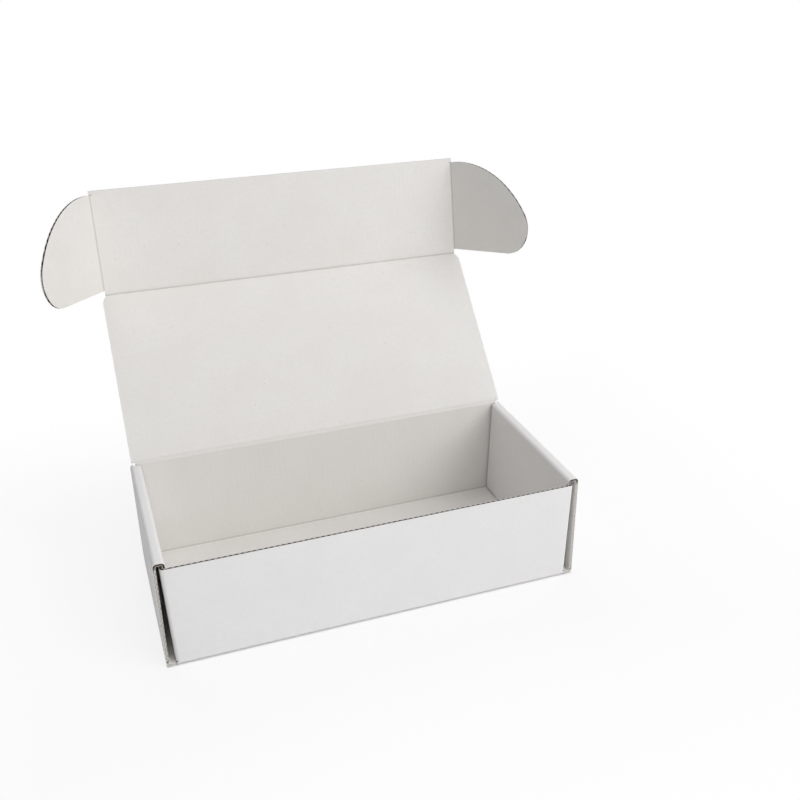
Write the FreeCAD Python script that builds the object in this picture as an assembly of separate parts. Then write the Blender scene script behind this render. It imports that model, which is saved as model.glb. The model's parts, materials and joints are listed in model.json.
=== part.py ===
# Roll-end gift box with a hinged lid, folded from one blank of thin white corrugated board.
# Millimetres. X runs along the front, Y towards the back, Z up.
# The origin is the middle of the underside. The lid stands open.
import FreeCAD, Part
import math
import os

# Board and folds
board = 1.5               # thickness of the corrugated board
fold_radius = 0.7         # inside radius of every fold
crease_gap = 0.15         # between a flap's round edge and the edge that it hinges on

# Flutes, seen where a raw edge crosses them
flute_pitch = 3.2
flute_gap = 0.5           # between two flutes that stand on the same liner
flute_depth = 2.5         # how far in from the raw edge they are open
liner = 0.25              # each outer skin of the board
flute_wall = 0.2          # wavy sheet between the liners, at its crests

# Tray
box_length = 250.0        # over the two side walls
box_depth = 113.0         # over the front and back walls
side_height = 68.0        # top of the rolled side walls
front_height = 64.0       # raw top edge of the front wall
ear_clearance = 0.15      # each side of an ear pushed into its slot
flap_gap = 0.25           # between a trapped corner flap and the inner side panel
wall_lean = 1.9           # degrees that flaps and inner panels lean into the box
side_setback = 0.8        # raw side edges stand behind the front and back faces
corner_flap_length = 50.0
corner_flap_cut = 6.0     # cut-off corners at a corner flap's free end
flap_lift = 0.2           # corner flap above the bottom's fold
panel_end_gap = 1.2       # inner side panel to the front and back walls
panel_foot_gap = 0.8      # inner side panel above the bottom
roll_gap = 0.4            # front of the rolled top above the front wall

# Locking tabs and their slots in the bottom
tab_length = 46.0
tab_recess = 0.2          # tab end above the underside
slot_play = 1.0           # at each end of a tab
slot_width = 5.5
slot_clearance = 0.2      # between a tab and the inner edge of its slot

# Lid, tuck flap and ears
lid_length = 113.5        # between the lid's two creases
lid_clearance = 0.2       # closed lid above the side walls
lid_inset = 1.0           # lid's side edges inside the box's ends
lid_corner_width = 2.0    # cut-off corners beside the tuck flap
lid_corner_length = 4.0
tuck_length = 66.5        # crease to free edge
ear_width = 67.0
ear_sweep_radius = 67.5   # long curve from the crease to the ear's tip
ear_tip_radius = 18.0
ear_roof_gap = 0.3        # pushed-in ear below the rolled top
ear_drop = 2.8            # ear's crease starts this far below the free edge

# How far each flap is folded as shown
lid_open = 133.0          # degrees from closed
tuck_fold = 34.0          # degrees from flat
left_ear_fold = 59.0
right_ear_fold = 65.0

# Worked out from the above
outer_radius = fold_radius + board
half_length = box_length / 2
half_depth = box_depth / 2
ear_slot = board + 2 * ear_clearance
flap_face = half_length - board - ear_slot               # outer face of a corner flap, at the top
panel_face = flap_face - board - flap_gap - board        # box side of an inner panel, at the top
roof = side_height - board                               # underside of a rolled top
slope = math.tan(math.radians(wall_lean))                # run of a leaning panel for each mm of fall
flap_foot = flap_face - roof * slope                     # where its fold reaches the bottom
corner_start = half_length / 2                           # front and back walls are drawn from here outwards
edge_offset = board / 2 + crease_gap                     # square edge to the hinge axis beside it
hinge_height = side_height + lid_clearance + board / 2
back_height = hinge_height - edge_offset
ear_hinge = half_length - board - ear_clearance - board / 2
fold_roof = roof - fold_radius + math.sqrt(fold_radius ** 2 - max(fold_radius - ear_clearance, 0) ** 2)
ear_base = hinge_height - fold_roof + ear_roof_gap       # ear's straight edge to the lid crease


def vec(x, y=0.0, z=0.0):
    return FreeCAD.Vector(x, y, z)


def box(low, high):
    size = high.sub(low)
    return Part.makeBox(size.x, size.y, size.z, low)


def offset_line(points, distance):
    # the same bent line, moved to its left by a distance, with mitred corners
    normals = []
    for start, end in zip(points, points[1:]):
        run = end.sub(start).normalize()
        normals.append(vec(-run.y, run.x))
    moved = [points[0].add(normals[0] * distance)]
    for point, before, after in zip(points[1:-1], normals, normals[1:]):
        mitre = before.add(after)
        moved.append(point.add(mitre * (distance / mitre.dot(before))))
    moved.append(points[-1].add(normals[-1] * distance))
    return moved


def rounded_line(points, radius):
    # straight runs joined by tangent arcs, one at each inner point
    edges = []
    start = points[0]
    for before, corner, after in zip(points, points[1:], points[2:]):
        to_before = before.sub(corner).normalize()
        to_after = after.sub(corner).normalize()
        half_angle = to_before.getAngle(to_after) / 2
        bisector = to_before.add(to_after).normalize()
        reach = radius / math.tan(half_angle)
        arc_start = corner.add(to_before * reach)
        arc_end = corner.add(to_after * reach)
        arc_middle = corner.add(bisector * (radius / math.sin(half_angle) - radius))
        edges.append(Part.LineSegment(start, arc_start).toShape())
        edges.append(Part.Arc(arc_start, arc_middle, arc_end).toShape())
        start = arc_end
    edges.append(Part.LineSegment(start, points[-1]).toShape())
    return edges


def folded_section(points):
    # section of the board folded along a line that only turns left, with the board on its left
    back = offset_line(points, board)
    edges = rounded_line(points, outer_radius)
    edges.append(Part.LineSegment(points[-1], back[-1]).toShape())
    edges.extend(rounded_line(back[::-1], fold_radius))
    edges.append(Part.LineSegment(back[0], points[0]).toShape())
    return Part.Face(Part.Wire(Part.__sortEdges__(edges)))


def flutes(start, end, across, inward):
    # blind holes along a raw edge, standing on one liner and then on the other
    along = end.sub(start).normalize()
    step = flute_pitch / 2
    count = int(end.sub(start).Length / step)
    first = (end.sub(start).Length - (count - 1) * step) / 2
    holes = []
    for number in range(count):
        middle = start.add(along * (first + number * step))
        holes.append(flute(middle, number % 2, along, across, inward * flute_depth))
    return holes


def flute(middle, flipped, along, across, reach):
    # one triangular hole, its base on a liner and its point towards the other
    half = along * ((flute_pitch - flute_gap) / 2)
    levels = [liner, board - liner - flute_wall]
    if flipped:
        levels = [board - level for level in levels]
    base = middle.add(across * levels[0])
    corners = [base.sub(half), base.add(half), middle.add(across * levels[1])]
    return Part.Face(Part.makePolygon(corners + corners[:1])).extrude(reach)


def upright(face, depth, start):
    # a section drawn in XY, stood up in XZ and run along Y from a start
    face = face.copy()
    face.rotate(vec(0, 0), vec(1, 0), 90)
    face.translate(vec(0, start))
    return face.extrude(vec(0, depth))


def side_wall():
    # right side: strip of bottom, outer panel, rolled top and inner panel, one fold after another
    foot = board + panel_foot_gap
    line = [
        vec(flap_foot + slot_clearance, 0),
        vec(half_length, 0),
        vec(half_length, side_height),
        vec(panel_face, side_height),
        vec(panel_face - (side_height - foot) * slope, foot),
    ]
    reach = half_depth - side_setback
    wall = upright(folded_section(line), 2 * reach, -reach)
    inside = half_length - board
    end = half_depth - board - panel_end_gap
    # the inner panel stops behind the front wall, below the front of the rolled top
    front_gap = box(vec(0, -half_depth, board), vec(flap_face, -end, front_height + roll_gap))
    # the rolled top and inner panel stop in front of the back wall
    back_gap = box(vec(0, end, board), vec(inside, half_depth, side_height))
    holes = []
    for edge in (-reach, reach):
        low = vec(inside, edge, outer_radius)
        high = vec(inside, edge, side_height - outer_radius)
        holes.extend(flutes(low, high, vec(1), vec(0, -edge).normalize()))
    return wall.cut(front_gap).cut(back_gap).cut(holes)


def locking_tab():
    # right tab: the foot of the inner panel, carried on down through its slot
    top = board + panel_foot_gap + board
    face_top = panel_face - (side_height - top) * slope
    face_end = panel_face - (side_height - tab_recess) * slope
    across = board / math.cos(math.radians(wall_lean))
    corners = [
        vec(face_end, tab_recess),
        vec(face_end + across, tab_recess),
        vec(face_top + across, top),
        vec(face_top, top),
    ]
    section = Part.Face(Part.makePolygon(corners + corners[:1]))
    return upright(section, tab_length, -tab_length / 2)


def tab_slot():
    inner = panel_face - side_height * slope - slot_clearance
    length = tab_length + 2 * slot_play
    top = board + panel_foot_gap / 2
    return box(vec(inner, -length / 2, -board), vec(inner + slot_width, length / 2, top))


def corner_flap(height):
    # right front corner: end of the wall and the flap folded back from it, leaning together
    # drawn taller than it is, tilted, then trimmed to height
    flap_end = -half_depth + corner_flap_length
    line = [vec(corner_start, -half_depth), vec(flap_face, -half_depth), vec(flap_face, flap_end)]
    flap = folded_section(line).extrude(vec(0, 0, 2 * side_height))
    flap.translate(vec(0, 0, -side_height / 2))
    flap.rotate(vec(flap_face, 0, roof), vec(0, 1), wall_lean)
    lowest = outer_radius + flap_lift
    flap = flap.common(box(vec(corner_start, -half_depth, lowest), vec(half_length, half_depth, height)))
    # the flap itself stays under the rolled top
    behind_wall = -half_depth + board + panel_end_gap / 2
    flap = flap.cut(box(vec(0, behind_wall, front_height), vec(half_length, half_depth, 2 * side_height)))
    for level in (lowest, front_height):
        flap = flap.cut(corner_cut(flap_end, level))
    return flap


def corner_cut(flap_end, level):
    # diamond that takes the corner off a corner flap's free end
    cut = corner_flap_cut
    corners = [vec(0, -cut), vec(cut, 0), vec(0, cut), vec(-cut, 0)]
    face = Part.Face(Part.makePolygon(corners + corners[:1]))
    face.rotate(vec(0, 0), vec(0, 1), 90)
    face.translate(vec(corner_start, flap_end, level))
    return face.extrude(vec(half_length))


def end_wall(height):
    # front wall of a given height, folded up from the bottom, with its two corner flaps
    line = [vec(-half_depth, height), vec(-half_depth, 0), vec(0, 0)]
    section = folded_section(line)
    section.rotate(vec(0, 0), vec(1, 0), 90)
    section.rotate(vec(0, 0), vec(0, 0, 1), 90)
    foot_half = flap_foot - slot_clearance
    section.translate(vec(-foot_half))
    fold = section.extrude(vec(2 * foot_half))
    middle_half = corner_start + corner_flap_cut
    low = outer_radius + flap_lift
    for side in (-1, 1):
        ends = sorted((side * middle_half, side * half_length))
        fold = fold.cut(box(vec(ends[0], -half_depth, low), vec(ends[1], 0, height)))
    right = corner_flap(height)
    return fold.fuse([right, mirrored(right)])


def mirrored(shape):
    return shape.mirror(vec(0, 0), vec(1, 0))


def bottom_panel():
    reach_x = half_length - outer_radius
    reach_y = half_depth - outer_radius
    return box(vec(-reach_x, -reach_y, 0), vec(reach_x, reach_y, board))


def tray():
    right = side_wall()
    body = bottom_panel().fuse([right, mirrored(right)])
    slot = tab_slot()
    body = body.cut([slot, mirrored(slot)])
    left_end = vec(outer_radius - flap_face, -half_depth, front_height)
    right_end = vec(flap_face - outer_radius, -half_depth, front_height)
    front = end_wall(front_height).cut(flutes(left_end, right_end, vec(0, 1), vec(0, 0, -1)))
    back = end_wall(back_height)
    back.rotate(vec(0, 0), vec(0, 0, 1), 180)
    tab = locking_tab()
    return body.fuse([front, back, tab, mirrored(tab)]).removeSplitter()


def plate(points):
    # flat board with a straight-sided outline, its middle plane in XY
    face = Part.Face(Part.makePolygon(points + points[:1]))
    face.translate(vec(0, 0, -board / 2))
    return face.extrude(vec(0, 0, board))


def round_edge(start, end):
    # full-round edge along a hinge axis
    run = end.sub(start)
    return Part.makeCylinder(board / 2, run.Length, start, run)


def lid():
    # hinge axis along X at y = 0, the tuck flap's axis at y = lid_length
    half = half_length - lid_inset
    far = lid_length - edge_offset
    outline = [
        vec(-half, 0),
        vec(half, 0),
        vec(half, far - lid_corner_length),
        vec(half - lid_corner_width, far),
        vec(-half + lid_corner_width, far),
        vec(-half, far - lid_corner_length),
    ]
    panel = plate(outline)
    return panel.fuse(round_edge(vec(-half, 0), vec(half, 0))).removeSplitter()


def tuck_flap():
    # hinge axis along X at y = 0, an ear's axis at each side
    half = ear_hinge - edge_offset
    shoulder = tuck_length - ear_drop + 2 * crease_gap
    outline = [
        vec(-half, 0),
        vec(half, 0),
        vec(half, shoulder),
        vec(ear_hinge, shoulder),
        vec(ear_hinge, tuck_length),
        vec(-ear_hinge, tuck_length),
        vec(-ear_hinge, shoulder),
        vec(-half, shoulder),
    ]
    panel = plate(outline)
    panel = panel.fuse(round_edge(vec(-half, 0), vec(half, 0))).removeSplitter()
    left_end = vec(-ear_hinge, tuck_length, -board / 2)
    right_end = vec(ear_hinge, tuck_length, -board / 2)
    return panel.cut(flutes(left_end, right_end, vec(0, 0, 1), vec(0, -1)))


def ear():
    # right ear, hinge axis along Y at x = 0: a long sweep from the crease into a round tip
    top = vec(0, tuck_length - ear_drop)
    tip = vec(ear_width - ear_tip_radius, ear_base + ear_tip_radius)
    base = vec(0, ear_base)
    base_end = vec(tip.x, ear_base)
    # centre of the sweep, which passes through the top and touches the tip's circle
    span = tip.sub(top)
    reach = ear_sweep_radius - ear_tip_radius
    along = (ear_sweep_radius ** 2 - reach ** 2 + span.Length ** 2) / (2 * span.Length)
    aside = math.sqrt(ear_sweep_radius ** 2 - along ** 2)
    run = vec(span.x, span.y).normalize()
    centre = top.add(run * along).add(vec(run.y, -run.x) * aside)
    touch = tip.add(tip.sub(centre).normalize() * ear_tip_radius)
    tip_middle = halfway(tip, base_end, touch, ear_tip_radius)
    sweep_middle = halfway(centre, touch, top, ear_sweep_radius)
    edges = [
        Part.LineSegment(base, base_end).toShape(),
        Part.Arc(base_end, tip_middle, touch).toShape(),
        Part.Arc(touch, sweep_middle, top).toShape(),
        Part.LineSegment(top, base).toShape(),
    ]
    face = Part.Face(Part.Wire(edges))
    face.translate(vec(0, 0, -board / 2))
    panel = face.extrude(vec(0, 0, board)).fuse(round_edge(base, top)).removeSplitter()
    return panel.cut(ear_flutes(tip, centre, touch))


def ear_flutes(tip, centre, touch):
    # open along the straight edge and along the sweep, up to where the tip turns along them
    holes = []
    step = flute_pitch / 2
    across = vec(0, 0, 1)
    for number in range(1, int(tip.x / step)):
        low = vec(number * step, ear_base, -board / 2)
        holes.append(flute(low, number % 2, vec(1), across, vec(0, flute_depth)))
    for number in range(1, int((tip.x + ear_tip_radius / 2) / step)):
        place = number * step
        middle, radius = (centre, ear_sweep_radius) if place < touch.x else (tip, ear_tip_radius)
        high = middle.y + math.sqrt(radius ** 2 - (place - middle.x) ** 2)
        start = vec(place, high + flute_depth, -board / 2)
        holes.append(flute(start, number % 2, vec(1), across, vec(0, -2 * flute_depth)))
    return holes


def halfway(centre, start, end, radius):
    # point half way round the shorter arc between two points
    return centre.add(start.sub(centre).add(end.sub(centre)).normalize() * radius)


def turn(axis, degrees, place=None):
    return FreeCAD.Placement(place or vec(0, 0), FreeCAD.Rotation(axis, degrees))


def placed(shape, placement):
    return shape.transformed(placement.toMatrix(), True)


def main():
    # each flap is drawn flat about its own hinge, then hung on the one before it
    lid_place = turn(vec(1, 0), 180 - lid_open, vec(0, half_depth - board / 2, hinge_height))
    tuck_place = lid_place.multiply(turn(vec(1, 0), tuck_fold, vec(0, lid_length)))
    left_place = tuck_place.multiply(turn(vec(0, 1), left_ear_fold, vec(-ear_hinge, 0)))
    right_place = tuck_place.multiply(turn(vec(0, 1), -right_ear_fold, vec(ear_hinge, 0)))
    nodes = {
        "tray": tray(),
        "lid": placed(lid(), lid_place),
        "tuck_flap": placed(tuck_flap(), tuck_place),
        "left_ear": placed(mirrored(ear()), left_place),
        "right_ear": placed(ear(), right_place),
    }
    os.makedirs("parts", exist_ok=True)
    for name, shape in nodes.items():
        solid = shape.Solids[0]
        print(name, len(shape.Solids), "solid", solid.isValid(), round(solid.Volume, 1))
        solid.exportStep("parts/" + name + ".step")


main()
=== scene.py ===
import bmesh
import bpy
import json
import math
from mathutils import Matrix, Vector


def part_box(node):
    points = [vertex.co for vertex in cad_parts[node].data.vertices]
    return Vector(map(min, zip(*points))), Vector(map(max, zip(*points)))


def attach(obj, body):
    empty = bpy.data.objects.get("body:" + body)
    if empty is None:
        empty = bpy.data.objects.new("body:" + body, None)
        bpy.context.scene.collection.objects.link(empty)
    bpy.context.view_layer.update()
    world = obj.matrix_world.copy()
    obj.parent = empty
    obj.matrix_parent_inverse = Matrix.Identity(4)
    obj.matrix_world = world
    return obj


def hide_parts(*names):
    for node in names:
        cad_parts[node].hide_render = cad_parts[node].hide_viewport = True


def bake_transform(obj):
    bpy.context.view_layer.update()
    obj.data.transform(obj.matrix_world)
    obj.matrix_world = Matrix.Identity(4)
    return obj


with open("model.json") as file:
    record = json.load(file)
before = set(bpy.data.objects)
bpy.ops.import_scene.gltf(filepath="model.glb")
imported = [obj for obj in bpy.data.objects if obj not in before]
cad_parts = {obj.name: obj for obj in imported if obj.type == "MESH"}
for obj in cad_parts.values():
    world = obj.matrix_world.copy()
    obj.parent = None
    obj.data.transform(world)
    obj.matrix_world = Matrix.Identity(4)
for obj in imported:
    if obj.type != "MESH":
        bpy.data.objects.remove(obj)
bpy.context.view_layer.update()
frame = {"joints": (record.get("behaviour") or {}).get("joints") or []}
print("frame loaded")

mm = 0.001

# Fine-flute corrugated board: a wavy medium glued between two white liners, in mm
board = {
    "thickness": 1.5,
    "liner": 0.18,
    "medium": 0.2,
    "crushed": 1.1,         # medium in the folds and the bottom, flat between its liners
    "squeezed": 0.8,        # medium in the side panels, pressed full by their folds; its paper is painted pale, as painted light
    "flutePitch": 3.2,
    "fluteSteps": 8,        # facets in one flute
    "foldRadius": 0.7,      # inside radius of a fold
    "foldSteps": 8,         # facets round a right angle
    "creaseReach": 2.0,     # crushed board each side of a hinge line
    "smoothBelow": 30,      # degrees between faces that shade as one
}
thickness = board["thickness"] * mm
liner = board["liner"] * mm
outerRadius = board["foldRadius"] * mm + thickness
creaseReach = board["creaseReach"] * mm
touching = 0.01 * mm            # two places closer than this are one
welded = 0.002 * mm             # two corners closer than this become one
margin = mm / 10                # keeps a test of place clear of what it borders on
mostly = 0.5                    # share of a normal that counts as facing that way


def jointNamed(name):
    return next(joint for joint in frame["joints"] if joint["name"] == name)


# Materials: one function turns a hex colour to linear, and one adds a node
def paint(hexColour):
    channels = [int(hexColour[place:place + 2], 16) / 255 for place in (0, 2, 4)]
    return [c / 12.92 if c <= 0.04045 else ((c + 0.055) / 1.055) ** 2.4 for c in channels] + [1.0]


def addNode(owner, kind, settings=None, links=None):
    # owner: a material or the world. links: socket name or number, to a value or a node's output
    node = owner.node_tree.nodes.new(kind)
    for setting, value in (settings or {}).items():
        setattr(node, setting, value)
    for socket, value in (links or {}).items():
        if isinstance(value, bpy.types.NodeSocket):
            owner.node_tree.links.new(value, node.inputs[socket])
        else:
            node.inputs[socket].default_value = value
    return node


def newMaterial(name, roughness, specular):
    material = bpy.data.materials.new(name)
    material.use_nodes = True
    shader = material.node_tree.nodes["Principled BSDF"]
    shader.inputs["Roughness"].default_value = roughness
    shader.inputs["IOR"].default_value = 1.5
    shader.inputs["Specular IOR Level"].default_value = specular
    return material, shader


def joinTo(owner, output, socket):
    owner.node_tree.links.new(output, socket)


# What each paper looks like: pattern sizes in mm, and shares from 0 to 1
linerLook = {
    "cloud": 28.0,               # slow drift of shade over a sheet
    "cloudRange": (0.3, 0.7),    # part of the noise that the drift uses
    "cloudShare": 0.5,           # how much of the drift shows
    "formation": 2.2,            # clumps of fibre in the sheet
    "clumpRange": (0.35, 0.7),
    "tooth": 0.35,               # paper's surface grain, drawn coarser than real so that it shows
    "speck": 9.0,                # between specks of dark fibre in the recycled pulp
    "speckRadius": 0.4,
    "speckCore": 0.5,            # share of its radius that is darkest
    "speckShare": 0.45,          # how much of its colour shows
    "speckColour": "8F8474",
}


def linerNodes(material, shader, base, clump, cloudShade, fluteRelief, toothRelief):
    # shade that drifts and clumps, and a surface with flutes showing through it, reliefs in mm
    place = addNode(material, "ShaderNodeTexCoord").outputs["Object"]
    formation = addNode(
        material,
        "ShaderNodeTexNoise",
        links={"Vector": place, "Scale": 1 / (linerLook["formation"] * mm), "Detail": 3.0, "Roughness": 0.6},
    )
    cloud = addNode(
        material,
        "ShaderNodeTexNoise",
        links={"Vector": place, "Scale": 1 / (linerLook["cloud"] * mm), "Detail": 1.0},
    )
    clumps = addNode(
        material,
        "ShaderNodeMapRange",
        links={
            "Value": formation.outputs["Fac"],
            "From Min": linerLook["clumpRange"][0],
            "From Max": linerLook["clumpRange"][1],
        },
    )
    mixed = addNode(
        material,
        "ShaderNodeMix",
        {"data_type": "RGBA"},
        {0: clumps.outputs["Result"], 6: paint(base), 7: paint(clump)},
    )
    drift = addNode(
        material,
        "ShaderNodeMapRange",
        links={
            "Value": cloud.outputs["Fac"],
            "From Min": linerLook["cloudRange"][0],
            "From Max": linerLook["cloudRange"][1],
        },
    )
    shaded = addNode(
        material,
        "ShaderNodeMix",
        {"data_type": "RGBA"},
        {0: drift.outputs["Result"], 6: mixed.outputs[2], 7: paint(cloudShade)},
    )
    clouded = addNode(
        material,
        "ShaderNodeMix",
        {"data_type": "RGBA"},
        {0: linerLook["cloudShare"], 6: mixed.outputs[2], 7: shaded.outputs[2]},
    )
    flat = addNode(material, "ShaderNodeUVMap", {"uv_map": "board"}).outputs["UV"]
    across = addNode(material, "ShaderNodeSeparateXYZ", links={0: flat}).outputs["X"]
    phase = addNode(
        material,
        "ShaderNodeMath",
        {"operation": "MULTIPLY"},
        {0: across, 1: 2 * math.pi / (board["flutePitch"] * mm)},
    )
    wave = addNode(material, "ShaderNodeMath", {"operation": "SINE"}, {0: phase.outputs[0]})
    tooth = addNode(
        material,
        "ShaderNodeTexNoise",
        links={"Vector": place, "Scale": 1 / (linerLook["tooth"] * mm), "Detail": 2.0},
    )
    flutes = addNode(
        material,
        "ShaderNodeBump",
        links={"Height": wave.outputs[0], "Distance": fluteRelief * mm, "Strength": 1.0},
    )
    grain = addNode(
        material,
        "ShaderNodeBump",
        links={
            "Height": tooth.outputs["Fac"],
            "Distance": toothRelief * mm,
            "Strength": 1.0,
            "Normal": flutes.outputs["Normal"],
        },
    )
    joinTo(material, grain.outputs["Normal"], shader.inputs["Normal"])
    return clouded.outputs[2], place


def coatedWhiteLiner():
    # bleached liner, clay coated and calendered: an even white with a dull sheen
    material, shader = newMaterial("clayCoatedWhiteLiner", roughness=0.65, specular=0.2)
    shades = ("EDECEC", "EAE9E9", "E8E7E7")
    colour = linerNodes(material, shader, *shades, fluteRelief=0.003, toothRelief=0.004)[0]
    joinTo(material, colour, shader.inputs["Base Color"])
    return material


def mottledWhiteLiner():
    # uncoated white-top test liner, machine finished: a warm matt white, clouded, with specks
    material, shader = newMaterial("uncoatedWhiteTopLiner", roughness=0.85, specular=0.2)
    shades = ("ECEAE7", "E8E6E2", "E6E3DF")
    colour, place = linerNodes(material, shader, *shades, fluteRelief=0.005, toothRelief=0.012)
    cells = addNode(
        material,
        "ShaderNodeTexVoronoi",
        links={"Vector": place, "Scale": 1 / (linerLook["speck"] * mm)},
    )
    radius = linerLook["speckRadius"] / linerLook["speck"]
    speck = addNode(
        material,
        "ShaderNodeMapRange",
        links={
            "Value": cells.outputs["Distance"],
            "From Min": radius * linerLook["speckCore"],
            "From Max": radius,
            "To Min": linerLook["speckShare"],
            "To Max": 0.0,
        },
    )
    specked = addNode(
        material,
        "ShaderNodeMix",
        {"data_type": "RGBA"},
        {0: speck.outputs["Result"], 6: colour, 7: paint(linerLook["speckColour"])},
    )
    joinTo(material, specked.outputs[2], shader.inputs["Base Color"])
    return material


paperTooth = 0.03               # height of a plain paper's rough surface, in mm


def plainPaper(name, base, dark, spacing, roughness):
    # recycled paper: two shades in clumps of a real size in mm, and a rough tooth
    material, shader = newMaterial(name, roughness, specular=0.15)
    place = addNode(material, "ShaderNodeTexCoord").outputs["Object"]
    clumps = addNode(
        material,
        "ShaderNodeTexNoise",
        links={"Vector": place, "Scale": 1 / (spacing * mm), "Detail": 3.0},
    )
    mixed = addNode(
        material,
        "ShaderNodeMix",
        {"data_type": "RGBA"},
        {0: clumps.outputs["Fac"], 6: paint(base), 7: paint(dark)},
    )
    rough = addNode(
        material,
        "ShaderNodeBump",
        links={"Height": clumps.outputs["Fac"], "Distance": paperTooth * mm, "Strength": 1.0},
    )
    joinTo(material, mixed.outputs[2], shader.inputs["Base Color"])
    joinTo(material, rough.outputs["Normal"], shader.inputs["Normal"])
    return material


papers = {
    "outside": coatedWhiteLiner(),
    "inside": mottledWhiteLiner(),
    # recycled fluting, machine glazed brown-grey, seen end on in a raw edge; painted darker, as painted
    # shade inside the open flutes
    "medium": plainPaper("recycledFlutingMedium", "5C4D3D", "3E3429", spacing=0.8, roughness=0.95),
    # the same fluting squeezed by the side folds, its blunt fibre ends filling the raw edge; painted pale,
    # as painted light falling into the flute ends
    "squeezed": plainPaper("squeezedFlutingMedium", "D3D0C9", "BAB5AC", spacing=0.8, roughness=0.95),
    # white-top liner bruised by the creasing rule, the white thinned and grey pulp showing through; painted
    # darker too, as painted shade in the crease's valley
    "scored": plainPaper("scoredWhiteTopLiner", "D6D4D0", "CBC9C4", spacing=0.6, roughness=0.9),
    # a liner's die-cut edge, torn a little by the rule: grey fibre with a trace of white, painted darker as
    # painted shade along the raw edges
    "cut": plainPaper("dieCutLinerEdge", "B8B1A6", "8C8377", spacing=0.6, roughness=0.9),
}
print("papers made")


# Drawing with Blender's own tools. A piece is drawn in metres, in its place or flat at the origin.
def leaveEditMode():
    if bpy.context.mode != "OBJECT":
        bpy.ops.object.mode_set(mode="OBJECT")
    bpy.ops.object.select_all(action="DESELECT")


def workOn(piece):
    leaveEditMode()
    piece.select_set(True)
    bpy.context.view_layer.objects.active = piece


def editOnly(piece):
    workOn(piece)
    bpy.ops.object.mode_set(mode="EDIT")


def editAll(piece):
    editOnly(piece)
    bpy.ops.mesh.select_all(action="SELECT")


def startPoint(name, place):
    # a pen point: a plane merged to one vertex
    leaveEditMode()
    bpy.ops.mesh.primitive_plane_add(size=mm)
    piece = bpy.context.object
    piece.name = name
    bpy.ops.object.mode_set(mode="EDIT")
    bpy.ops.mesh.select_mode(type="VERT")
    bpy.ops.mesh.select_all(action="SELECT")
    bpy.ops.mesh.merge(type="CENTER")
    bpy.ops.transform.translate(value=tuple(place))
    return piece


def drawOn(step):
    # what is selected is extruded by a step: a point into a line, a line into a sheet
    bpy.ops.mesh.extrude_region_move(TRANSFORM_OT_translate={"value": tuple(step)})


def foldOn(centre, axis, degrees, facets=board["foldSteps"]):
    # what is selected is spun about an axis by the right-hand rule, which Spin counts the other way
    steps = max(2, round(abs(degrees) / 90 * facets))
    bpy.ops.mesh.spin(steps=steps, angle=-math.radians(degrees), center=tuple(centre), axis=tuple(axis))


def pick(piece, kind, test):
    # selects the vertices, edges or faces that pass a test of their middle and corners
    bpy.ops.mesh.select_mode(type=kind)
    bpy.ops.mesh.select_all(action="DESELECT")
    shape = bmesh.from_edit_mesh(piece.data)
    for part in {"VERT": shape.verts, "EDGE": shape.edges, "FACE": shape.faces}[kind]:
        corners = [part.co] if kind == "VERT" else [corner.co for corner in part.verts]
        if test(sum(corners, Vector()) / len(corners), corners):
            part.select_set(True)
    shape.select_flush_mode()
    bmesh.update_edit_mesh(piece.data)


def fillOutline():
    # the line just drawn becomes one flat face
    bpy.ops.mesh.select_all(action="SELECT")
    bpy.ops.mesh.edge_face_add()


def faceOutwards():
    bpy.ops.mesh.select_all(action="SELECT")
    bpy.ops.mesh.normals_make_consistent(inside=False)
    leaveEditMode()


def slide(piece, step):
    # moves a flat piece in its own plane, before it goes to its place
    editAll(piece)
    bpy.ops.transform.translate(value=step)
    leaveEditMode()


def near(value, target):
    return abs(value - target) < touching


def applyModifiers(piece):
    workOn(piece)
    for modifier in list(piece.modifiers):
        bpy.ops.object.modifier_apply(modifier=modifier.name)


def faceTowards(piece, place, direction):
    # welds an open sheet and makes its faces agree, the one nearest a place looking in a direction
    editAll(piece)
    bpy.ops.mesh.remove_doubles(threshold=welded)
    faceOutwards()
    nearest = min(piece.data.polygons, key=lambda face: (face.center - Vector(place)).length)
    if nearest.normal.dot(Vector(direction)) < 0:
        editAll(piece)
        bpy.ops.mesh.flip_normals()
        leaveEditMode()


def thicken(piece, amount, offset=-1.0):
    # a sheet gets its thickness; its back takes the second material and its rim the third
    wall = piece.modifiers.new("thickness", "SOLIDIFY")
    wall.thickness = amount
    wall.offset = offset
    wall.use_even_offset = True
    wall.use_quality_normals = True
    wall.material_offset = 1
    wall.material_offset_rim = 2
    applyModifiers(piece)


def finishPiece(piece, body, materials, acrossFlutes):
    # paper on its faces, soft shading over its folds, flutes' direction, and the body it moves with
    for paper in materials:
        piece.data.materials.append(papers[paper])
    workOn(piece)
    bpy.ops.object.shade_smooth_by_angle(angle=math.radians(board["smoothBelow"]))
    layer = piece.data.uv_layers.get("board") or piece.data.uv_layers.new(name="board")
    for face in piece.data.polygons:
        across, along = acrossFlutes(face.normal)
        for corner in face.loop_indices:
            place = piece.data.vertices[piece.data.loops[corner].vertex_index].co
            layer.data[corner].uv = (place.dot(across), place.dot(along))
    leaveEditMode()
    if body:
        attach(piece, body)


def putAt(piece, place):
    # a piece drawn flat at the origin goes to its place, and its place into its mesh
    workOn(piece)
    piece.matrix_world = place
    bpy.ops.object.transform_apply(location=True, rotation=True, scale=True)


def placeFrom(origin, across, along):
    across, along, up = Vector(across), Vector(along), Vector(across).cross(Vector(along))
    place = Matrix((across, along, up)).transposed().to_4x4()
    place.translation = Vector(origin)
    return place


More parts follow.
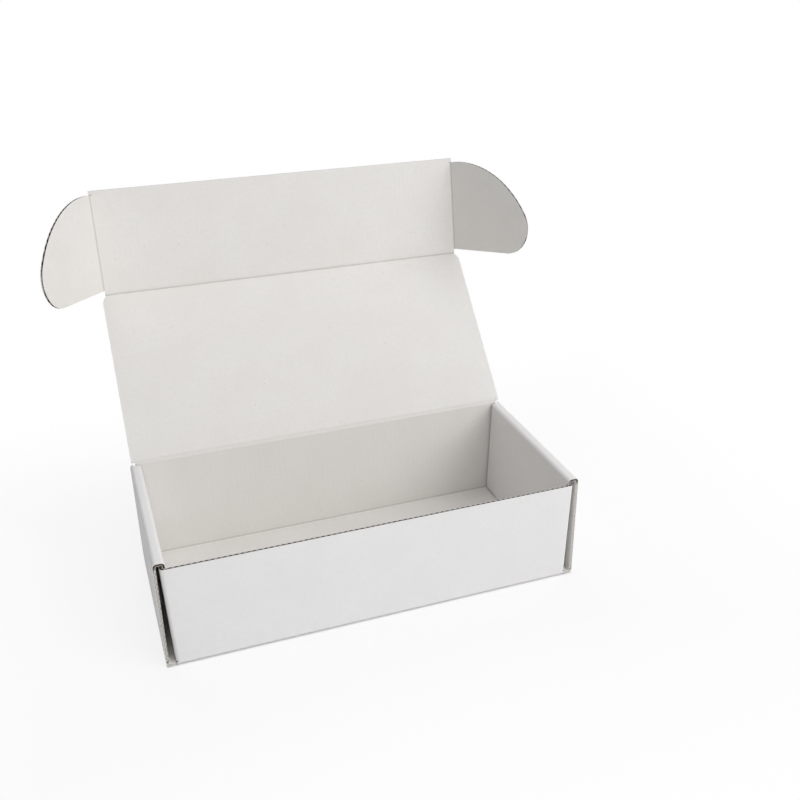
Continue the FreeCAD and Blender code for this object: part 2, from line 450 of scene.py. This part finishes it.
def flutedMedium(name, width, length, paper="medium"):
    # the wavy sheet inside a panel, flutes along Y: one flute drawn, repeated across the panel
    pitch = board["flutePitch"] * mm
    rise = (board["thickness"] - 2 * board["liner"] - board[paper]) / 2 * mm
    steps = board["fluteSteps"]
    count = int(width / pitch)
    piece = startPoint(name, (-count * pitch / 2, 0, 0))
    level = 0
    for step in range(steps):
        nextLevel = rise * math.sin(2 * math.pi * (step + 1) / steps)
        drawOn((pitch / steps, 0, nextLevel - level))
        level = nextLevel
    bpy.ops.mesh.select_all(action="SELECT")
    drawOn((0, length, 0))
    repeat = piece.modifiers.new("flutes", "ARRAY")
    repeat.count = count
    repeat.use_relative_offset = False
    repeat.use_constant_offset = True
    repeat.constant_offset_displace = (pitch, 0, 0)
    repeat.use_merge_vertices = True
    repeat.merge_threshold = touching
    applyModifiers(piece)
    return piece


# Tray, in mm. Its length and depth come from the frame.
traySize = {
    "sideHeight": 68.0,
    "frontHeight": 64.0,
    "sideSetback": 0.8,        # side panels' raw edges behind the front and back faces
    "wallLean": 1.9,           # degrees that corner flaps and inner panels lean in
    "panelFace": 118.45,       # box side of an inner panel, at the top
    "flapFace": 121.7,         # outer face of a corner flap, at the top
    "panelSetback": 2.7,       # inner panel's ends behind the front and back faces
    "panelStep": 64.4,         # above this the inner panel runs on to the front of the roll
    "panelFoot": 2.3,          # inner panel's lower edge, just above the bottom
    "foldEnd": 119.3,          # ends of the front and back folds
    "foldNotch": 0.4,          # between a side fold and the front or back fold
    "flapLift": 0.2,           # corner flap above the bottom's fold
    "flapLength": 50.0,
    "flapCut": 6.0,            # cut-off corners at a flap's free end
    "tabHalf": 23.0,
    "tabFoot": 0.2,
    "slotHalf": 24.0,
    "slotInner": 115.99,
    "slotWidth": 5.5,
}
tray = {key: value * mm for key, value in traySize.items()}
lean = math.radians(traySize["wallLean"])
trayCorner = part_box("tray")[1]
halfLength = trayCorner.x
halfDepth = trayCorner.y
sideFold = halfLength - outerRadius
endFold = halfDepth - outerRadius
sideEnd = halfDepth - tray["sideSetback"]
topFold = tray["sideHeight"] - outerRadius
flapBase = outerRadius + tray["flapLift"]
lidHinge = Vector(jointNamed("lid_hinge")["pos_m"])
backTop = lidHinge.z - creaseReach
panelEnd = halfDepth - tray["panelSetback"]


def wallHalf(height):
    # half the flat width of the front or back wall, between its leaning folds
    roof = tray["sideHeight"] - thickness
    return tray["flapFace"] - (roof - height) * math.tan(lean) - outerRadius


def foldedTray(name, depth):
    # one layer of the tray, a depth below its outside face, folded up out of the bottom
    leaveEditMode()
    bpy.ops.mesh.primitive_plane_add(size=1)
    piece = bpy.context.object
    piece.name = name
    bpy.ops.object.mode_set(mode="EDIT")
    bpy.ops.mesh.select_all(action="SELECT")
    bpy.ops.transform.resize(value=(2 * sideFold, 2 * sideEnd, 1))
    bpy.ops.transform.translate(value=(0, 0, depth))
    cutBottom(piece, depth)
    for side in (-1, 1):
        rollSide(piece, side, outerRadius - depth)
    trimRolls(piece)
    for end in (-1, 1):
        raiseWall(piece, end, depth)
    return piece


def cutBottom(piece, depth):
    # lines where something folds or ends, then the corner notches and the slots for the tabs
    notchOuter = tray["foldEnd"] + tray["foldNotch"]
    slotOuter = tray["slotInner"] + tray["slotWidth"]
    for side in (-1, 1):
        for x in (slotOuter, notchOuter, tray["foldEnd"], wallHalf(flapBase), tray["slotInner"]):
            bpy.ops.mesh.select_all(action="SELECT")
            bpy.ops.mesh.bisect(plane_co=(side * x, 0, depth), plane_no=(1, 0, 0))
        for y in (endFold, panelEnd, tray["slotHalf"], tray["tabHalf"]):
            bpy.ops.mesh.select_all(action="SELECT")
            bpy.ops.mesh.bisect(plane_co=(0, side * y, depth), plane_no=(0, 1, 0))

    def inNotch(middle, corners):
        return abs(middle.y) > endFold and abs(middle.x) < notchOuter

    def inSlot(middle, corners):
        return abs(middle.y) < tray["slotHalf"] and tray["slotInner"] < abs(middle.x) < slotOuter

    for test in (inNotch, inSlot):
        pick(piece, "FACE", test)
        bpy.ops.mesh.delete(type="FACE")


def rollSide(piece, side, radius):
    # outer panel up, roll over its top, inner panel down again, and its tab through the slot
    def outerEdge(middle, corners):
        return all(near(corner.x, side * sideFold) for corner in corners)

    axis = (0, -side, 0)
    pick(piece, "EDGE", outerEdge)
    foldOn((side * sideFold, 0, outerRadius), axis, 90)
    drawOn((0, 0, topFold - outerRadius))
    foldOn((side * sideFold, 0, topFold), axis, 90)
    turn = 90 - traySize["wallLean"]
    panelFold = tray["panelFace"] + outerRadius * math.tan(math.radians(turn) / 2)
    drawOn((side * (panelFold - sideFold), 0, 0))
    foldOn((side * panelFold, 0, topFold), axis, turn)
    level = topFold + radius * math.sin(lean)
    for stop in (tray["panelStep"], tray["panelFoot"]):
        drawOn((side * (stop - level) * math.tan(lean), 0, stop - level))
        level = stop

    def tabEdge(middle, corners):
        return middle.x * side > 0 and near(middle.z, level) and abs(middle.y) < tray["tabHalf"]

    pick(piece, "EDGE", tabEdge)
    drawOn((side * (tray["tabFoot"] - level) * math.tan(lean), 0, tray["tabFoot"] - level))


def trimRolls(piece):
    # the roll and inner panel stop in front of the back wall, and the panel behind the front wall
    insideOuterPanel = halfLength - thickness - margin

    def cutAway(middle, corners):
        behindFront = middle.y < -panelEnd and middle.z < tray["panelStep"]
        rollOrPanel = abs(middle.x) < insideOuterPanel and middle.z > tray["panelFoot"]
        return rollOrPanel and (middle.y > panelEnd or behindFront)

    pick(piece, "FACE", cutAway)
    bpy.ops.mesh.delete(type="FACE")


def raiseWall(piece, end, depth):
    # front wall (end -1) or back wall (end 1), with a corner flap folded back at each side
    face = end * (halfDepth - depth)
    top = tray["frontHeight"]
    low, high = wallHalf(flapBase), wallHalf(top)

    def bottomEdge(middle, corners):
        onFold = all(near(corner.y, end * endFold) for corner in corners)
        return onFold and near(middle.z, depth) and abs(middle.x) < tray["foldEnd"]

    def edgeAt(level, half):
        def test(middle, corners):
            inWall = abs(middle.x) < half and near(middle.y, face)
            return inWall and all(near(corner.z, level) for corner in corners)

        return test

    pick(piece, "EDGE", bottomEdge)
    foldOn((0, end * endFold, outerRadius), (end, 0, 0), 90)
    drawOn((0, 0, tray["flapLift"]))
    pick(piece, "EDGE", edgeAt(flapBase, low))
    drawOn((0, 0, top - flapBase))
    for side in (-1, 1):
        corner = Vector((side * low, face, top))
        pick(piece, "VERT", lambda middle, corners: (middle - corner).length < margin)
        bpy.ops.transform.translate(value=(side * (high - low), 0, 0))
    for side in (-1, 1):
        edgeMiddle = side * (low + high) / 2
        pick(piece, "EDGE", lambda middle, corners: near(middle.x, edgeMiddle) and near(middle.y, face))
        fold = Vector((side * math.sin(lean), 0, math.cos(lean)))
        foldOn((side * low, end * endFold, flapBase), fold * (-end * side), 90)
        drawOn((0, -end * (tray["flapLength"] - outerRadius), 0))
    cutFlapCorners(piece, end)
    if end == 1:
        pick(piece, "EDGE", edgeAt(top, high))
        drawOn((0, 0, backTop - top))


def cutFlapCorners(piece, end):
    flapEnd = end * (halfDepth - tray["flapLength"])

    def isFlap(middle, corners):
        besideWall = abs(middle.x) > wallHalf(0) and middle.z > flapBase
        return besideWall and any(near(corner.y, flapEnd) for corner in corners)

    for level, up in ((flapBase, -1), (tray["frontHeight"], 1)):
        pick(piece, "FACE", isFlap)
        place = (0, flapEnd, level - up * tray["flapCut"])
        bpy.ops.mesh.bisect(plane_co=place, plane_no=(0, -end, up), clear_outer=True)


def boxAxes(normal):
    # flutes run front to back, and up the front and back walls
    if abs(normal.x) > mostly:
        return Vector((0, 0, 1)), Vector((0, 1, 0))
    if abs(normal.y) > mostly:
        return Vector((1, 0, 0)), Vector((0, 0, 1))
    return Vector((1, 0, 0)), Vector((0, 1, 0))


def makeTray():
    outside = foldedTray("trayOuterLiner", 0)
    faceTowards(outside, (0, 0, 0), (0, 0, -1))
    thicken(outside, liner)
    finishPiece(outside, "tray", ("outside", "medium", "cut"), boxAxes)
    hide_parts("tray")
    inside = foldedTray("trayInnerLiner", thickness)
    faceTowards(inside, (0, 0, thickness), (0, 0, 1))
    thicken(inside, liner)
    insidePapers = ("inside", "medium", "cut", "scored")
    markFolds(inside, insidePapers.index("scored"))
    finishPiece(inside, "tray", insidePapers, boxAxes)
    makeTrayMedium()


def markFolds(piece, scoredAndShadedIndex):
    # the inner face of the front and back folds is scored, and painted darker as painted shade in the fold
    for face in piece.data.polygons:
        middle = face.center
        onFold = abs(middle.y) > endFold and thickness - margin < middle.z < outerRadius
        if face.material_index == 0 and onFold and abs(middle.x) < wallHalf(flapBase):
            face.material_index = scoredAndShadedIndex


def makeTrayMedium():
    # crushed flat in the bottom, folds, rolls, inner panels and corner flaps, and open flutes in the
    # four outer walls
    crushed = foldedTray("trayCrushedMedium", thickness / 2)
    sideGap = halfLength - thickness
    wallGap = halfDepth - thickness

    def fluted(middle, corners):
        inWall = abs(middle.y) > wallGap and middle.z > flapBase and abs(middle.x) < wallHalf(middle.z)
        inSide = abs(middle.x) > sideGap and outerRadius < middle.z < topFold
        return inWall or inSide

    pick(crushed, "FACE", fluted)
    bpy.ops.mesh.delete(type="FACE")
    faceTowards(crushed, (0, 0, thickness / 2), (0, 0, 1))
    thicken(crushed, board["crushed"] * mm, 0)
    # the squeezed paper, painted pale as painted light, along the bottom, and the brown fluting with its
    # painted shade in the rolls above
    for face in crushed.data.polygons:
        face.material_index = 1 if face.center.z < outerRadius else 0
    finishPiece(crushed, "tray", ("medium", "squeezed"), boxAxes)
    for end, name, top in ((-1, "frontWallFlutes", tray["frontHeight"]), (1, "backWallFlutes", backTop)):
        piece = flutedMedium(name, 2 * wallHalf(top), top - flapBase)
        putAt(piece, placeFrom((0, end * (halfDepth - thickness / 2), flapBase), (1, 0, 0), (0, 0, 1)))
        for side in (-1, 1):
            editAll(piece)
            normal = (side * math.cos(lean), 0, -math.sin(lean))
            bpy.ops.mesh.bisect(plane_co=(side * wallHalf(0), 0, 0), plane_no=normal, clear_outer=True)
        thicken(piece, board["medium"] * mm, 0)
        finishPiece(piece, "tray", ("medium",), boxAxes)
    for side, name in ((-1, "leftSideFlutes"), (1, "rightSideFlutes")):
        piece = flutedMedium(name, topFold - outerRadius, 2 * sideEnd, "squeezed")
        middle = (side * (halfLength - thickness / 2), -sideEnd, (topFold + outerRadius) / 2)
        putAt(piece, placeFrom(middle, (0, 0, 1), (0, 1, 0)))
        thicken(piece, board["squeezed"] * mm, 0)
        finishPiece(piece, "tray", ("squeezed",), boxAxes)


makeTray()
print("tray folded")


# Lid, tuck flap and ears hang from the hinges that the frame gives. Sizes in mm.
flapSize = {
    "lidInset": 1.0,           # lid's side edges inside the box's ends
    "lidCornerWidth": 2.0,     # cut-off corners beside the tuck flap
    "lidCornerLength": 4.0,
    "lidEdgeGap": 0.9,         # lid's far edge before the tuck's hinge line
    "tuckLength": 66.5,        # hinge line to free edge
    "tuckInset": 0.9,          # tuck's side edges inside the ears' hinge lines
    "earDrop": 2.8,            # ear's top below the tuck's free edge
    "earBase": 3.02,           # ear's straight edge above the tuck's hinge line
    "earWidth": 67.0,
    "sweepRadius": 67.5,
    "tipRadius": 18.0,
    "shoulderGap": 0.3,        # tuck's shoulders above the ears' tops
    "cornerGap": 0.2,          # lid's corners beside and above the hinge line's crushed board
}
flap = {key: value * mm for key, value in flapSize.items()}
tuckHinge = Vector(jointNamed("tuck_hinge")["pos_m"])
lidAlong = (tuckHinge - lidHinge).normalized()
lidLength = (tuckHinge - lidHinge).length
tuckAlong = Vector(jointNamed("left_ear_hinge")["axis"]).normalized()
earHinge = jointNamed("right_ear_hinge")["pos_m"][0]
creaseHalf = earHinge - flap["tuckInset"]
earFacets = 20                 # in a right angle of the ear's tip, and twice as many in its long sweep
sideways = Vector((1, 0, 0))
lidFacing = sideways.cross(lidAlong)
tuckFacing = sideways.cross(tuckAlong)


def mirrored(rightHalf):
    # an outline's right half, and its left half on the way back
    return rightHalf + [(-x, y) for x, y in rightHalf[::-1]]


def earDirection(side, joint):
    # from an ear's hinge line along the ear, folded in as it is at rest
    fold = math.radians(-joint["range_deg"][0])
    return sideways * side * math.cos(fold) + tuckFacing * math.sin(fold)


def panel(name, level, points):
    # flat sheet inside straight lines
    piece = startPoint(name, (points[0][0], points[0][1], level))
    for before, after in zip(points, points[1:]):
        drawOn((after[0] - before[0], after[1] - before[1], 0))
    fillOutline()
    return piece


def boardPanel(names, draw, place, body, innerSide, medium):
    # two liners with a fluted medium between them: innerSide 1 where the inside liner is on top
    def axes(normal):
        return place.col[0].to_3d(), place.col[1].to_3d()

    papersOf = {"outside": ("outside", "medium", "cut"), "inside": ("inside", "medium", "cut")}
    for name, paper, up in ((names[0], "outside", -innerSide), (names[1], "inside", innerSide)):
        piece = draw(name, up * thickness / 2)
        faceTowards(piece, (0, 0, 0), (0, 0, up))
        thicken(piece, liner)
        putAt(piece, place)
        finishPiece(piece, body, papersOf[paper], axes)
    putAt(medium, place)
    finishPiece(medium, body, ("medium",), axes)
    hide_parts(body)


def makeLid():
    half = halfLength - flap["lidInset"]
    far = lidLength - flap["lidEdgeGap"]
    cutStart = far - flap["lidCornerLength"]
    last = lidLength - creaseReach
    lastHalf = half - flap["lidCornerWidth"] * (last - cutStart) / flap["lidCornerLength"]
    cornerInner = creaseHalf + flap["cornerGap"]
    rightHalf = [
        (cornerInner, creaseReach),
        (cornerInner, flap["cornerGap"]),
        (half, flap["cornerGap"]),
        (half, cutStart),
        (lastHalf, last),
    ]
    medium = flutedMedium("lidFlutes", 2 * lastHalf, last - creaseReach)
    thicken(medium, board["medium"] * mm, 0)
    slide(medium, (0, creaseReach, 0))
    boardPanel(
        ("lidOuterLiner", "lidInnerLiner"),
        lambda name, level: panel(name, level, mirrored(rightHalf)),
        placeFrom(lidHinge, sideways, lidAlong),
        "lid",
        1,
        medium,
    )


def makeTuck():
    side = earHinge - creaseReach
    shoulder = flap["tuckLength"] - flap["earDrop"] + flap["shoulderGap"]
    rightHalf = [
        (creaseHalf, creaseReach),
        (creaseHalf, flap["earBase"]),
        (side, flap["earBase"]),
        (side, shoulder),
        (earHinge, shoulder),
        (earHinge, flap["tuckLength"]),
    ]
    medium = flutedMedium("tuckFlutes", 2 * earHinge, flap["tuckLength"] - creaseReach)
    thicken(medium, board["medium"] * mm, 0)
    slide(medium, (0, creaseReach, 0))
    boardPanel(
        ("tuckOuterLiner", "tuckInnerLiner"),
        lambda name, level: panel(name, level, mirrored(rightHalf)),
        placeFrom(tuckHinge, sideways, tuckAlong),
        "tuck_flap",
        1,
        medium,
    )


def earOutline(name, level):
    # straight edge, round tip and long sweep up to the hinge, in the ear's own plane
    top = Vector((0, flap["tuckLength"] - flap["earDrop"]))
    tip = Vector((flap["earWidth"] - flap["tipRadius"], flap["earBase"] + flap["tipRadius"]))
    span = tip - top
    inner = flap["sweepRadius"] - flap["tipRadius"]
    along = (flap["sweepRadius"] ** 2 - inner ** 2 + span.length ** 2) / (2 * span.length)
    aside = math.sqrt(flap["sweepRadius"] ** 2 - along ** 2)
    run = span.normalized()
    centre = top + run * along + Vector((run.y, -run.x)) * aside
    touch = math.degrees(math.atan2(tip.y - centre.y, tip.x - centre.x))
    last = math.degrees(math.acos((creaseReach - centre.x) / flap["sweepRadius"]))
    piece = startPoint(name, (creaseReach, flap["earBase"], level))
    drawOn((tip.x - creaseReach, 0, 0))
    foldOn((tip.x, tip.y, level), (0, 0, 1), 90 + touch, earFacets)
    foldOn((centre.x, centre.y, level), (0, 0, 1), last - touch, 2 * earFacets)
    fillOutline()
    return piece


def makeEar(side, body, name):
    # its flutes are cut to the ear's outline
    joint = jointNamed(body + "_hinge")
    place = placeFrom(joint["pos_m"], earDirection(side, joint), tuckAlong)
    medium = flutedMedium(name + "Flutes", flap["earWidth"], flap["tuckLength"])
    slide(medium, (flap["earWidth"] / 2, 0, 0))
    cutter = earOutline("earCutter", -thickness)
    bpy.ops.mesh.select_all(action="SELECT")
    drawOn((0, 0, 2 * thickness))
    faceOutwards()
    thicken(medium, board["medium"] * mm, 0)
    trim = medium.modifiers.new("outline", "BOOLEAN")
    trim.operation = "INTERSECT"
    trim.solver = "EXACT"
    trim.object = cutter
    applyModifiers(medium)
    bpy.data.objects.remove(cutter)
    boardPanel((name + "OuterLiner", name + "InnerLiner"), earOutline, place, body, side, medium)


makeLid()
makeTuck()
makeEar(-1, "left_ear", "leftEar")
makeEar(1, "right_ear", "rightEar")
print("lid, tuck flap and ears made")


creaseShape = {
    "steps": 16,
    "lidGroove": 0.25,     # crushed depth of the inner face, in mm
    "tuckGroove": 0.6,
    "earGroove": 0.25,
    "outerGroove": 0.15,
    "scoredShare": 0.22,   # of a crease's width that the rule bruised, painted darker as painted shade
    "bendShare": 0.6,      # of its reach each side, where it bends with the flap
}
creasePapers = ("inside", "outside", "medium", "scored")


def crease(name, groove, hinge, away, axis, ends, inward):
    # crushed board bent round a hinge line: away holds each panel's direction from the line
    first, second = (Vector(direction) for direction in away)
    steps = creaseShape["steps"]
    inner, outer = [], []
    for step in range(steps + 1):
        share = step / steps
        middle = hinge + creaseReach * (first * (1 - share) ** 2 + second * share ** 2)
        run = (second * share - first * (1 - share)).normalized()
        up = axis.cross(run)
        if up.dot(Vector(inward)) < 0:
            up = -up
        crush = (1 - math.cos(2 * math.pi * share)) / 2
        inner.append(middle + up * (thickness / 2 - crush ** 2 * creaseShape[groove] * mm))
        outer.append(middle - up * (thickness / 2 - crush * creaseShape["outerGroove"] * mm))
    corners = inner + outer[::-1]
    piece = startPoint(name, corners[0] + axis * ends[0])
    for before, after in zip(corners, corners[1:]):
        drawOn(after - before)
    fillOutline()
    drawOn(axis * (ends[1] - ends[0]))
    faceOutwards()
    across = (second - first).normalized()
    for face in piece.data.polygons:
        paper = "inside" if face.normal.dot(Vector(inward)) > 0 else "outside"
        aside = abs((face.center - hinge).dot(across))
        # the lid's crease is softer and shows no mark of the rule, and no painted shade
        if paper == "inside" and groove != "lidGroove" and aside < creaseShape["scoredShare"] * creaseReach:
            paper = "scored"
        if abs(face.normal.dot(axis)) > mostly:
            paper = "medium"
        face.material_index = creasePapers.index(paper)
    finishPiece(piece, None, creasePapers, lambda normal: (sideways, tuckAlong))
    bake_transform(piece)


def makeCreases():
    hingeEnds = (-creaseHalf, creaseHalf)
    away = ((0, 0, -1), lidAlong)
    crease("lidCrease", "lidGroove", lidHinge, away, sideways, hingeEnds, (0, -1, 0))
    away = (-lidAlong, tuckAlong)
    crease("tuckCrease", "tuckGroove", tuckHinge, away, sideways, hingeEnds, lidFacing)
    earEnds = (flap["earBase"], flap["tuckLength"] - flap["earDrop"])
    for side, name, body in ((-1, "leftEarCrease", "left_ear"), (1, "rightEarCrease", "right_ear")):
        joint = jointNamed(body + "_hinge")
        hinge = Vector(joint["pos_m"])
        away = (-sideways * side, earDirection(side, joint))
        crease(name, "earGroove", hinge, away, tuckAlong, earEnds, tuckFacing)


makeCreases()
print("creases bent")


# Studio: pale floor that runs out of sight, a soft key from the front right and three soft fills.
# Metres, and watts for the lamps.
studio = {
    "floorRadius": 6.0,
    "floorSides": 96,
    "floorDrop": 0.0002,   # below the box, so that the two never share a plane
    "floorColour": "F4F4F4",
    "floorWhite": 0.8,     # share of plain white that the camera sees in the floor beside the box
    "floorFade": 0.25,     # metres from the box to a floor that is all white
    "sky": 0.28,           # strength of the even light from all round
}
lamps = {
    "softKey": {"place": (1.2, -1.2, 1.3), "size": 1.5, "power": 19.8},
    "frontFill": {"place": (0.3, -2.1, 0.8), "size": 1.5, "power": 8.0},
    "topFill": {"place": (0.1, -0.1, 2.0), "size": 1.5, "power": 7.0},
    "backFill": {"place": (0.0, 1.4, 1.6), "size": 1.2, "power": 10.2},
}


def raysThatSeeWhite(owner):
    # 1 where the camera, a reflection or glass looks, and 0 for the light that falls on the box
    ray = addNode(owner, "ShaderNodeLightPath")
    level = ray.outputs["Is Camera Ray"]
    for kind in ("Is Glossy Ray", "Is Transmission Ray"):
        links = {0: level, 1: ray.outputs[kind]}
        level = addNode(owner, "ShaderNodeMath", {"operation": "MAXIMUM"}, links).outputs[0]
    return level


def makeFloor():
    leaveEditMode()
    bpy.ops.mesh.primitive_circle_add(
        vertices=studio["floorSides"],
        radius=studio["floorRadius"],
        fill_type="NGON",
        location=(0, 0, -studio["floorDrop"]),
    )
    floor = bpy.context.object
    floor.name = "studioFloor"
    bpy.ops.object.transform_apply()
    material, shader = newMaterial("paintedStudioFloor", roughness=0.9, specular=0.1)
    shader.inputs["Base Color"].default_value = paint(studio["floorColour"])
    # under the box the floor stays dark, so that no white shows through the slots
    place = addNode(material, "ShaderNodeTexCoord").outputs["Object"]
    away = addNode(material, "ShaderNodeSeparateXYZ", links={0: place})
    past = []
    for axis, half in (("X", halfLength), ("Y", halfDepth)):
        fromMiddle = addNode(material, "ShaderNodeMath", {"operation": "ABSOLUTE"}, {0: away.outputs[axis]})
        links = {0: fromMiddle.outputs[0], 1: half}
        past.append(addNode(material, "ShaderNodeMath", {"operation": "SUBTRACT"}, links).outputs[0])
    links = {0: past[0], 1: past[1]}
    gap = addNode(material, "ShaderNodeMath", {"operation": "MAXIMUM"}, links).outputs[0]
    outside = addNode(material, "ShaderNodeMath", {"operation": "GREATER_THAN"}, {0: gap, 1: 0.0})
    fade = addNode(
        material,
        "ShaderNodeMapRange",
        {"interpolation_type": "SMOOTHSTEP"},
        {"Value": gap, "From Max": studio["floorFade"], "To Min": studio["floorWhite"]},
    )
    links = {0: raysThatSeeWhite(material), 1: outside.outputs[0]}
    seenOutside = addNode(material, "ShaderNodeMath", {"operation": "MULTIPLY"}, links)
    links = {0: seenOutside.outputs[0], 1: fade.outputs["Result"]}
    share = addNode(material, "ShaderNodeMath", {"operation": "MULTIPLY"}, links)
    white = addNode(material, "ShaderNodeEmission", links={"Color": (1, 1, 1, 1), "Strength": 1.0})
    seen = addNode(
        material,
        "ShaderNodeMixShader",
        links={0: share.outputs[0], 1: shader.outputs[0], 2: white.outputs[0]},
    )
    joinTo(material, seen.outputs[0], material.node_tree.nodes["Material Output"].inputs["Surface"])
    floor.data.materials.append(material)


def makeSky():
    # a dim even sky for the object, and white where the camera or a reflection sees past the floor
    world = bpy.context.scene.world or bpy.data.worlds.new("studioWorld")
    bpy.context.scene.world = world
    world.use_nodes = True
    sky = world.node_tree.nodes["Background"]
    sky.inputs["Color"].default_value = (1, 1, 1, 1)
    links = {"Value": raysThatSeeWhite(world), "To Min": studio["sky"]}
    strength = addNode(world, "ShaderNodeMapRange", links=links)
    joinTo(world, strength.outputs["Result"], sky.inputs["Strength"])


def makeLamps():
    for name, lamp in lamps.items():
        light = bpy.data.lights.new(name, "AREA")
        light.shape = "SQUARE"
        light.size = lamp["size"]
        light.energy = lamp["power"]
        holder = bpy.data.objects.new(name, light)
        bpy.context.scene.collection.objects.link(holder)
        holder.location = lamp["place"]
        holder.rotation_euler = (-Vector(lamp["place"])).to_track_quat("-Z", "Y").to_euler()


makeFloor()
makeSky()
makeLamps()

# Camera, standing to the left of the box and looking down into it
view = {
    "place": (-140.9, -495.1, 367.4),     # mm
    "azimuth": 19.30,                     # degrees to the right of straight ahead
    "down": 26.09,
    "roll": -0.76,
    "lens": 44.05,                        # mm, on a film 36 mm wide
    "film": 36,
    "nearest": 0.01,                      # metres
}


def makeCamera():
    camera = bpy.data.cameras.new("camera")
    camera.lens = view["lens"]
    camera.sensor_width = view["film"]
    camera.clip_start = view["nearest"]
    holder = bpy.data.objects.new("camera", camera)
    bpy.context.scene.collection.objects.link(holder)
    holder.location = Vector(view["place"]) * mm
    azimuth, down = math.radians(view["azimuth"]), math.radians(view["down"])
    look = Vector((math.sin(azimuth) * math.cos(down), math.cos(azimuth) * math.cos(down), -math.sin(down)))
    turn = look.to_track_quat("-Z", "Y").to_matrix() @ Matrix.Rotation(math.radians(view["roll"]), 3, "Z")
    holder.rotation_euler = turn.to_euler()
    bpy.context.scene.camera = holder


makeCamera()
bpy.context.scene.view_settings.view_transform = "Standard"
print("studio lit")
